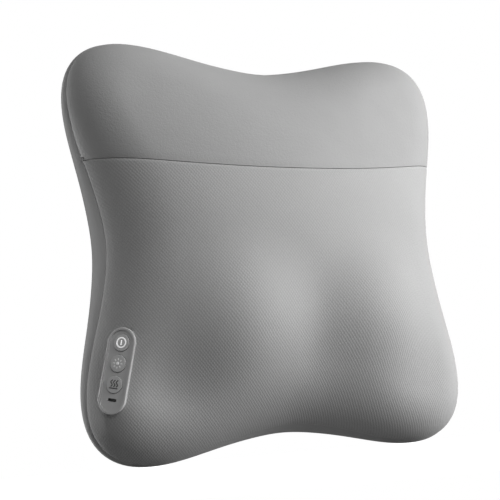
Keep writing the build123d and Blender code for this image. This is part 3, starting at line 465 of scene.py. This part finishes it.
# %% The foam under the covers
foam_merge_gap, foam_crease = 0.00001, math.radians(30)
press_reach, press_gap = 0.008, 0.0022    # foam within this reach is kept this far inside
solid_foam = frame["nodes"]["foam_body"]
foam = bpy.data.objects.new("squeezed_foam", solid_foam.data.copy())
foam.data.transform(solid_foam.matrix_world)
bpy.context.scene.collection.objects.link(foam)
bpy.ops.object.select_all(action="DESELECT")
foam.select_set(True)
bpy.context.view_layer.objects.active = foam
bpy.ops.object.mode_set(mode="EDIT")
bpy.ops.mesh.select_all(action="SELECT")
bpy.ops.mesh.remove_doubles(threshold=foam_merge_gap)
bpy.ops.object.mode_set(mode="OBJECT")
bpy.ops.object.shade_smooth_by_angle(angle=foam_crease)
squeezed = 0
for vertex in foam.data.vertices:
    for sheet in sheets:
        spot, normal, face, gap = sheet.find_nearest(vertex.co, press_reach)
        if spot is None:
            continue
        if normal.dot(spot - heart) < 0:
            normal = -normal
        if (vertex.co - spot).dot(normal) > -press_gap:
            vertex.co = spot - normal * press_gap
            squeezed += 1
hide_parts("foam_body")
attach(foam, "cushion")
print("foam points squeezed:", squeezed)

# %% [markdown]
# Each panel stands for one cover of the model and rides on the cushion. The solid covers are plain
# thin shells, so they are replaced and not shown with a finish.

# %% What the panels stand for
panels = (upper_panel, mesh_panel, band_panel, back_panel)
for panel in panels:
    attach(panel, "cushion")
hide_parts("upper_cover")
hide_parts("mesh_cover")
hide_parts("side_band")
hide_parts("back_cover")
print("padded panels:", len(panels))

# %% [markdown]
# The three buttons carry plain signs: a ring with a bar for power, a small sun for the mode, and
# three wavy lines over a bar for heat. They could be a pattern in the buttons' finish, but thin
# shapes that stand about a quarter of a millimetre out of the buttons stay sharp from close by.

# %% The signs on the buttons
button_face = 0.0015
button_rises = (0.0226, 0.0057, -0.0112)
sign_thickness, corner_share = 0.0005, 0.4


def lay_sign(name, parts, rise, body):
    """Joins the parts of a sign and lays it on a button's face."""
    bpy.ops.object.select_all(action="DESELECT")
    for part in parts:
        part.select_set(True)
    bpy.context.view_layer.objects.active = parts[0]
    if len(parts) > 1:
        bpy.ops.object.join()
    sign = bpy.context.object
    sign.name = sign.data.name = name
    bpy.ops.object.transform_apply(location=True, rotation=True, scale=True)
    at = pod_centre + pod_up * rise + pod_out * button_face
    sign.data.transform(Matrix((
        (pod_across.x, pod_up.x, pod_out.x, at.x),
        (pod_across.y, pod_up.y, pod_out.y, at.y),
        (pod_across.z, pod_up.z, pod_out.z, at.z),
        (0, 0, 0, 1),
    )))
    bpy.ops.object.shade_smooth()
    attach(sign, body)
    return sign


def add_bar(width, height, x, y, turned=0.0):
    """A thin bar with rounded corners, turned about its own middle."""
    bpy.ops.mesh.primitive_cube_add(size=1, location=(x, y, 0), rotation=(0, 0, turned))
    bar = bpy.context.object
    bar.scale = (width, height, sign_thickness)
    bpy.ops.object.transform_apply(location=False, rotation=False, scale=True)
    edge = bar.modifiers.new("soft corners", "BEVEL")
    edge.width = min(width, height) * corner_share
    edge.segments = 3
    edge.limit_method = "ANGLE"
    edge.affect = "EDGES"
    bpy.ops.object.modifier_apply(modifier=edge.name)
    return bar


ring_radius, ring_wire, ring_flatness = 0.0039, 0.00055, 0.35
power_bar = (0.0011, 0.0042)
bpy.ops.mesh.primitive_torus_add(
    major_radius=ring_radius, minor_radius=ring_wire, major_segments=48, minor_segments=10)
ring = bpy.context.object
ring.scale.z = ring_flatness
power_sign = lay_sign("power_sign", [ring, add_bar(*power_bar, 0, 0)], button_rises[0], "power_key")

ray_count, ray_circle, sun_radius = 8, 0.0034, 0.0014
ray_size = (0.0016, 0.0009)
rays = []
for number in range(ray_count):
    angle = math.radians(360 / ray_count * number)
    x, y = ray_circle * math.cos(angle), ray_circle * math.sin(angle)
    rays.append(add_bar(*ray_size, x, y, angle))
bpy.ops.mesh.primitive_cylinder_add(vertices=20, radius=sun_radius, depth=sign_thickness)
rays.append(bpy.context.object)
mode_sign = lay_sign("mode_sign", rays, button_rises[1], "mode_key")

wave_sways = (0, 0.0012, 0.0008, 0, -0.0008, 0, 0.0008)
wave_foot, wave_step = -0.0017, 0.0009
wave_radius, wave_flatness, wave_spacing = 0.00045, 0.6, 0.0025
heat_bar, heat_bar_drop = (0.0078, 0.0009), 0.0030


def add_wave(x):
    """A wavy upright line, made from a curve with a round section and then flattened."""
    line = bpy.data.curves.new("wave", "CURVE")
    line.dimensions = "3D"
    line.bevel_depth = wave_radius
    line.bevel_resolution = 2
    line.use_fill_caps = True
    path = line.splines.new("NURBS")
    path.points.add(len(wave_sways) - 1)
    for number, point in enumerate(path.points):
        point.co = (x + wave_sways[number], wave_foot + wave_step * number, 0, 1)
    path.order_u = 3
    path.use_endpoint_u = True
    piece = bpy.data.objects.new("wave", line)
    bpy.context.scene.collection.objects.link(piece)
    bpy.ops.object.select_all(action="DESELECT")
    piece.select_set(True)
    bpy.context.view_layer.objects.active = piece
    bpy.ops.object.convert(target="MESH")
    piece = bpy.context.object
    for vertex in piece.data.vertices:
        vertex.co.z *= wave_flatness
    return piece


heat_parts = [add_bar(*heat_bar, 0, -heat_bar_drop)]
for side in (-1, 0, 1):
    heat_parts.append(add_wave(side * wave_spacing))
heat_sign = lay_sign("heat_sign", heat_parts, button_rises[2], "heat_key")
print("signs:", power_sign.name, mode_sign.name, heat_sign.name)

# %% [markdown]
# Materials are built from nodes. They could be joined one by one, but small helpers add a node, a
# noise or a bump and set its inputs, so that each finish below reads as a short list.

# %% A helper for materials
def new_finish(name):
    """An empty material and its principled shader."""
    finish = bpy.data.materials.new(name)
    finish.use_nodes = True
    return finish, finish.node_tree.nodes["Principled BSDF"]


def add_node(finish, kind, **inputs):
    """Adds a node; words with an underscore stand for inputs with a space."""
    node = finish.node_tree.nodes.new(kind)
    for key, value in inputs.items():
        node.inputs[key.replace("_", " ")].default_value = value
    return node


def join(finish, source, sink):
    """Links one socket to another."""
    finish.node_tree.links.new(source, sink)


def colour_between(finish, factor, dark, light):
    """A mix of two greys or colours by a factor socket."""
    mix = add_node(finish, "ShaderNodeMix")
    mix.data_type = "RGBA"
    mix.inputs["A"].default_value = (*dark, 1)
    mix.inputs["B"].default_value = (*light, 1)
    join(finish, factor, mix.inputs["Factor"])
    return mix.outputs["Result"]


def grey(value):
    """A neutral colour."""
    return (value, value, value)


def add_noise(finish, place, scale, detail):
    """A soft noise at a place socket; a low scale makes clouds and a high one makes grit."""
    noise = add_node(finish, "ShaderNodeTexNoise", Scale=scale, Detail=detail, Roughness=0.6)
    join(finish, place, noise.inputs["Vector"])
    return noise.outputs["Fac"]


def add_relief(finish, height, strength, distance, under=None):
    """A bump from a height socket, laid over another bump where one is given."""
    relief = add_node(finish, "ShaderNodeBump", Strength=strength, Distance=distance)
    join(finish, height, relief.inputs["Height"])
    if under is not None:
        join(finish, under, relief.inputs["Normal"])
    return relief.outputs["Normal"]


def finish_cloth(finish, shader, colour, normal, rough, specular):
    """Gives a cloth's shader its colour, its relief and a low gloss."""
    join(finish, colour, shader.inputs["Base Color"])
    join(finish, normal, shader.inputs["Normal"])
    shader.inputs["Roughness"].default_value = rough
    shader.inputs["Specular IOR Level"].default_value = specular
    print(finish.name, "nodes:", len(finish.node_tree.nodes))


# %% [markdown]
# The upper panel is a fine matte leather-like cloth. Small pebbles come from a cell texture, creases
# from a fine noise, and a slow noise keeps the tone from being even. Displacement would need millions
# of faces for grains this small, so bump shows them.

# %% The grained upper cloth
grained, shader = new_finish("grained_cloth")
place = add_node(grained, "ShaderNodeTexCoord").outputs["Object"]
pebble = add_node(grained, "ShaderNodeTexVoronoi", Scale=900, Randomness=1)
pebble.feature = "SMOOTH_F1"
join(grained, place, pebble.inputs["Vector"])
tone = colour_between(grained, add_noise(grained, place, 14, 6), grey(0.30), grey(0.36))
creases = add_relief(grained, add_noise(grained, place, 420, 4), 0.55, 0.0004)
pebbles = add_relief(grained, pebble.outputs["Distance"], 0.35, 0.0003, creases)
finish_cloth(grained, shader, tone, pebbles, 0.62, 0.12)
upper_panel.data.materials.append(grained)

# %% [markdown]
# The mesh cloth is knitted in a lattice of small knots about two millimetres apart, laid diagonally.
# A cell texture with hardly any randomness gives the knots. It could read places in space, but then
# the knots would stretch where the panel rolls over, so it follows the cloth's own coordinates.

# %% The mesh cloth
knitted, shader = new_finish("knitted_mesh")
cloth_map = add_node(knitted, "ShaderNodeUVMap").outputs["UV"]
diagonal, knots_per_metre = (0, 0, math.radians(45)), (525, 393, 1)
lattice = add_node(knitted, "ShaderNodeMapping", Rotation=diagonal, Scale=knots_per_metre)
join(knitted, cloth_map, lattice.inputs["Vector"])
knots = add_node(knitted, "ShaderNodeTexVoronoi", Scale=1, Randomness=0.2)
knots.voronoi_dimensions = "2D"
join(knitted, lattice.outputs["Vector"], knots.inputs["Vector"])
knob = add_node(knitted, "ShaderNodeMapRange", From_Min=0.15, From_Max=0.6, To_Min=1, To_Max=0)
join(knitted, knots.outputs["Distance"], knob.inputs["Value"])
place = add_node(knitted, "ShaderNodeTexCoord").outputs["Object"]
tone = colour_between(knitted, add_noise(knitted, place, 9, 5), grey(0.37), grey(0.43))
# Painted shade: the knit's tone is multiplied by a grey that falls to 0.89 in the hollows between the
# knots, darkening them as shade would.
painted_hollow_shade = add_node(knitted, "ShaderNodeMix")
painted_hollow_shade.data_type = "RGBA"
painted_hollow_shade.blend_type = "MULTIPLY"
painted_hollow_shade.inputs["Factor"].default_value = 1
join(knitted, tone, painted_hollow_shade.inputs["A"])
shade = colour_between(knitted, knob.outputs["Result"], grey(0.89), grey(1.0))
join(knitted, shade, painted_hollow_shade.inputs["B"])
knobs = add_relief(knitted, knob.outputs["Result"], 0.27, 0.0004)
yarn = add_relief(knitted, add_noise(knitted, place, 900, 3), 0.2, 0.0002, knobs)
finish_cloth(knitted, shader, painted_hollow_shade.outputs["Result"], yarn, 0.8, 0.06)
mesh_panel.data.materials.append(knitted)

# %% [markdown]
# The band and the back are a plain tight weave. A noise alone would look like felt, so two crossing
# waves give the threads, along the cloth's own coordinates.

# %% The plain weave
woven, shader = new_finish("plain_weave")
cloth_map = add_node(woven, "ShaderNodeUVMap").outputs["UV"]
threads = []
for direction in ("X", "Y"):
    thread = add_node(woven, "ShaderNodeTexWave", Scale=260, Distortion=1.5, Detail=2)
    thread.bands_direction = direction
    join(woven, cloth_map, thread.inputs["Vector"])
    threads.append(thread.outputs["Fac"])
crossing = add_node(woven, "ShaderNodeMath")
crossing.operation = "MULTIPLY"
join(woven, threads[0], crossing.inputs[0])
join(woven, threads[1], crossing.inputs[1])
place = add_node(woven, "ShaderNodeTexCoord").outputs["Object"]
tone = colour_between(woven, add_noise(woven, place, 18, 6), grey(0.33), grey(0.39))
weave = add_relief(woven, crossing.outputs["Value"], 0.3, 0.0002)
finish_cloth(woven, shader, tone, weave, 0.8, 0.08)
band_panel.data.materials.append(woven)
back_panel.data.materials.append(woven)

# %% [markdown]
# The hard pieces keep their solids and get finishes by what they are made of. Each finish could be
# built by itself, but they differ only in tone, gloss, metal and grain. So one helper makes them all,
# and a table says which slot of the model has which.

# %% Finishes of the hard pieces
mottle_scale, grit_height = 60, 0.00005
rough_swing, smoothest = 0.08, 0.05


def plain_finish(name, tone, rough, metal=0.0, grain=3000, depth=0.3, variation=0.12,
                 stretch=(1, 1, 1)):
    """A moulded, cast or turned surface with a fine grain."""
    finish, surface = new_finish(name)
    spot = add_node(finish, "ShaderNodeTexCoord").outputs["Object"]
    stretched = add_node(finish, "ShaderNodeMapping", Scale=stretch)
    join(finish, spot, stretched.inputs["Vector"])
    mottle = add_noise(finish, stretched.outputs["Vector"], mottle_scale, 5)
    darker = tuple(c * (1 - variation) for c in tone)
    lighter = tuple(min(c * (1 + variation), 1) for c in tone)
    join(finish, colour_between(finish, mottle, darker, lighter), surface.inputs["Base Color"])
    grit = add_noise(finish, stretched.outputs["Vector"], grain, 3)
    join(finish, add_relief(finish, grit, depth, grit_height), surface.inputs["Normal"])
    least, most = max(rough - rough_swing, smoothest), min(rough + rough_swing, 1)
    rough_range = add_node(finish, "ShaderNodeMapRange", To_Min=least, To_Max=most)
    join(finish, mottle, rough_range.inputs["Value"])
    join(finish, rough_range.outputs["Result"], surface.inputs["Roughness"])
    surface.inputs["Metallic"].default_value = metal
    return finish


satin = {"grain": 2000, "variation": 0.04}
finishes = {
    "foam": plain_finish("open_foam", (0.72, 0.70, 0.64), 0.9, grain=600, depth=0.8),
    "heater": plain_finish("heater_film", grey(0.10), 0.7, grain=800, stretch=(1, 1, 6)),
    "black_plastic": plain_finish("moulded_black", grey(0.035), 0.5),
    "gear_plastic": plain_finish("gear_plastic", (0.82, 0.80, 0.74), 0.4),
    "node_rubber": plain_finish("node_rubber", grey(0.05), 0.65),
    "steel": plain_finish("turned_steel", grey(0.62), 0.3, metal=1, stretch=(1, 12, 1)),
    "motor_steel": plain_finish("plated_steel", (0.56, 0.57, 0.60), 0.35, metal=1),
    "magnet": plain_finish("sintered_magnet", grey(0.06), 0.6),
    "copper": plain_finish("turned_bronze", (0.72, 0.42, 0.22), 0.35, metal=1),
    "cell_wrap": plain_finish("cell_sleeve", (0.05, 0.16, 0.36), 0.3),
    "board_green": plain_finish("solder_mask", (0.02, 0.14, 0.06), 0.4),
    "pod_plastic": plain_finish("satin_pod", grey(0.46), 0.42, depth=0.25, **satin),
    "button_plastic": plain_finish("satin_button", grey(0.50), 0.36, depth=0.2, **satin),
    "wire": plain_finish("wire_sleeve", grey(0.02), 0.5),
}
slot_of = {row["node"]: row["material_slot"] for row in frame["record"]["subparts"]}
for name, node in frame["nodes"].items():
    if slot_of.get(name) in finishes:
        if not node.data.materials:
            node.data.materials.append(None)
        for number in range(len(node.data.materials)):
            node.data.materials[number] = finishes[slot_of[name]]
dark_nickel = plain_finish("dark_nickel", grey(0.05), 0.45, metal=1)
socket = frame["nodes"]["charging_socket"]
for number in range(len(socket.data.materials)):
    socket.data.materials[number] = dark_nickel
foam.data.materials.clear()
foam.data.materials.append(finishes["foam"])
print("finishes:", len(finishes))

# %% [markdown]
# The signs differ from their buttons: power is white, the sun is a soft grey and heat is black. The
# two pale signs get a faint painted glow: a little emission in their finish makes them brighter than
# the lamps alone make them. A lamp under each could light them from behind instead.

# %% Finishes of the signs
white_sign = plain_finish("white_sign", grey(0.85), 0.5, variation=0.02)
grey_sign = plain_finish("grey_sign", grey(0.60), 0.5, variation=0.02)
black_sign = plain_finish("black_sign", grey(0.012), 0.5, variation=0.02)
# Painted glow: the white and grey signs give off a little light of their own, beyond what the lamps
# give.
for painted_glow_sign, strength in ((white_sign, 0.34), (grey_sign, 0.12)):
    surface = painted_glow_sign.node_tree.nodes["Principled BSDF"]
    surface.inputs["Emission Color"].default_value = (1, 1, 1, 1)
    surface.inputs["Emission Strength"].default_value = strength
power_sign.data.materials.append(white_sign)
mode_sign.data.materials.append(grey_sign)
heat_sign.data.materials.append(black_sign)
print("sign finishes:", white_sign.name, grey_sign.name, black_sign.name)

# %% [markdown]
# The floor is plain and pale. A glow that only seen rays meet makes it white, and its own tone is a
# middling grey, so that it throws little light up at the cushion. It keeps the cushion's shadow. A
# white floor in strong light would be simpler, but would light the cushion from below.

# %% The floor
floor_size, floor_tone, floor_glow = 12, 0.2, 0.96


def seen_directly(owner):
    """One for rays of the camera, of a mirror or through glass, and zero for the light's rays."""
    path = add_node(owner, "ShaderNodeLightPath")
    total = path.outputs["Is Camera Ray"]
    for kind in ("Is Glossy Ray", "Is Transmission Ray"):
        larger = add_node(owner, "ShaderNodeMath")
        larger.operation = "MAXIMUM"
        join(owner, total, larger.inputs[0])
        join(owner, path.outputs[kind], larger.inputs[1])
        total = larger.outputs["Value"]
    return total


bpy.ops.object.select_all(action="DESELECT")
bpy.ops.mesh.primitive_plane_add(size=floor_size, location=(0, 0, 0))
floor = bpy.context.object
floor.name = "floor"
pale, shader = new_finish("pale_floor")
shader.inputs["Base Color"].default_value = (*grey(floor_tone), 1)
shader.inputs["Roughness"].default_value = 0.9
share = add_node(pale, "ShaderNodeMath")
share.operation = "MULTIPLY"
share.inputs[1].default_value = floor_glow
join(pale, seen_directly(pale), share.inputs[0])
glow = add_node(pale, "ShaderNodeEmission", Color=(1, 1, 1, 1))
join(pale, share.outputs["Value"], glow.inputs["Strength"])
both = add_node(pale, "ShaderNodeAddShader")
join(pale, shader.outputs["BSDF"], both.inputs[0])
join(pale, glow.outputs["Emission"], both.inputs[1])
join(pale, both.outputs["Shader"], pale.node_tree.nodes["Material Output"].inputs["Surface"])
floor.data.materials.append(pale)
print("floor:", floor_size, "m")

# %% [markdown]
# Five square soft lamps light the cushion: the key high at the right, a broad one low at the side, a
# weak fill at the front, one that grazes the left side from behind, and one for the back. An even
# light from all round would be simpler, but would flatten the two swellings. The room gives only a
# little light, and is white where it is seen past the floor.

# %% Lamps and room
lamp_distance, room_light = 1.6, 0.02


def add_lamp(name, toward, size, watts):
    """A square soft lamp in a direction from the cushion, aimed at it."""
    data = bpy.data.lights.new(name, "AREA")
    data.shape = "SQUARE"
    data.size = size
    data.energy = watts
    lamp = bpy.data.objects.new(name, data)
    direction = Vector(toward).normalized()
    lamp.location = centre + direction * lamp_distance
    lamp.rotation_mode = "QUATERNION"
    lamp.rotation_quaternion = direction.to_track_quat("Z", "Y")
    bpy.context.scene.collection.objects.link(lamp)


add_lamp("key", (0.5, -0.72, 0.42), 0.8, 17.5)
add_lamp("side", (0.88, -0.4, -0.05), 0.7, 31)
add_lamp("front fill", (-0.15, -0.8, 0.6), 0.6, 6.8)
add_lamp("left edge", (-0.66, 0.75, 0.05), 0.5, 18)
add_lamp("back fill", (0.4, 0.86, 0.3), 0.7, 14)
world = bpy.data.worlds.new("room")
bpy.context.scene.world = world
world.use_nodes = True
dim = world.node_tree.nodes["Background"]
dim.inputs["Color"].default_value = (1, 1, 1, 1)
dim.inputs["Strength"].default_value = room_light
white = add_node(world, "ShaderNodeBackground", Color=(1, 1, 1, 1), Strength=1)
chooser = add_node(world, "ShaderNodeMixShader")
join(world, seen_directly(world), chooser.inputs["Fac"])
join(world, dim.outputs["Background"], chooser.inputs[1])
join(world, white.outputs["Background"], chooser.inputs[2])
join(world, chooser.outputs["Shader"], world.node_tree.nodes["World Output"].inputs["Surface"])
print("lamps:", len(bpy.data.lights))
